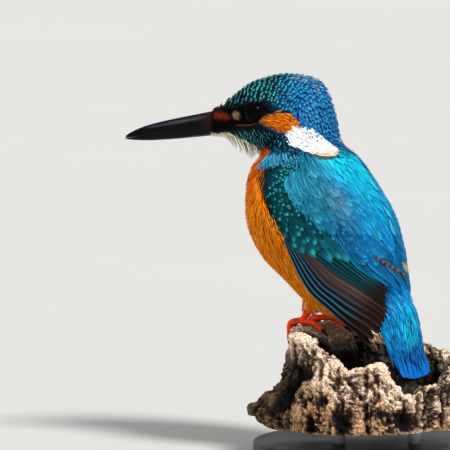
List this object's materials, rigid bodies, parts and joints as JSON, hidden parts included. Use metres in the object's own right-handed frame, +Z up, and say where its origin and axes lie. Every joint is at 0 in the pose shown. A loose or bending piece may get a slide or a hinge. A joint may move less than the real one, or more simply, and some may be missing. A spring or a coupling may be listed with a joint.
{
  "type": "common kingfisher model",
  "caption": "Life-size male common kingfisher perched upright on the rim of a short hollow stump, head in profile, held by rods on a round display base.",
  "frame": {"origin": "on the floor under the middle of the whole, at the underside of the display base", "axes": "+Z up; the bill points along -X; the bird shows its left side and back towards -Y"},
  "size_m": [0.1324, 0.084, 0.1396],
  "materials": {
    "plumage_crown": "blue-black feathers with rows of bright turquoise-blue spots, silky sheen",
    "plumage_back": "brilliant azure feathers, silky, iridescent sheen",
    "plumage_breast": "soft chestnut-orange feathers, white on throat and neck side, matt",
    "plumage_wing": "dark green-blue feathers with cyan tips, satin",
    "plumage_flight": "black-brown flight feathers with blue-green outer webs, satin",
    "plumage_tail": "bright blue feathers with dark shafts, silky",
    "bill_horn": "black horn, satin gloss",
    "eye": "black-brown, wet high gloss",
    "foot_skin": "scaly orange-red skin, satin",
    "claw_horn": "black horn, satin",
    "weathered_wood": "bare grey-brown weathered wood, rough and split",
    "stand_paint": "dark grey paint, satin",
    "stand_steel": "brushed"
  },
  "bodies": {
    "root": {"head": "plumage_crown", "neck": "plumage_crown", "trunk": "plumage_breast", "rump": "plumage_back", "tail": "plumage_tail", "bill_upper": "bill_horn", "bill_lower": "bill_horn", "perch_stump": "weathered_wood", "stand_base": "stand_paint", "stand_rod_left": "stand_steel", "stand_rod_right": "stand_steel", "eye_left": "eye", "wing_left_coverts": "plumage_wing", "wing_left_secondaries": "plumage_wing", "wing_left_primaries": "plumage_flight", "leg_left": "foot_skin", "claw_left_inner": "claw_horn", "claw_left_middle": "claw_horn", "claw_left_outer": "claw_horn", "claw_left_hind": "claw_horn", "eye_right": "eye", "wing_right_coverts": "plumage_wing", "wing_right_secondaries": "plumage_wing", "wing_right_primaries": "plumage_flight", "leg_right": "foot_skin", "claw_right_inner": "claw_horn", "claw_right_middle": "claw_horn", "claw_right_outer": "claw_horn", "claw_right_hind": "claw_horn"}
  },
  "joints": []
}
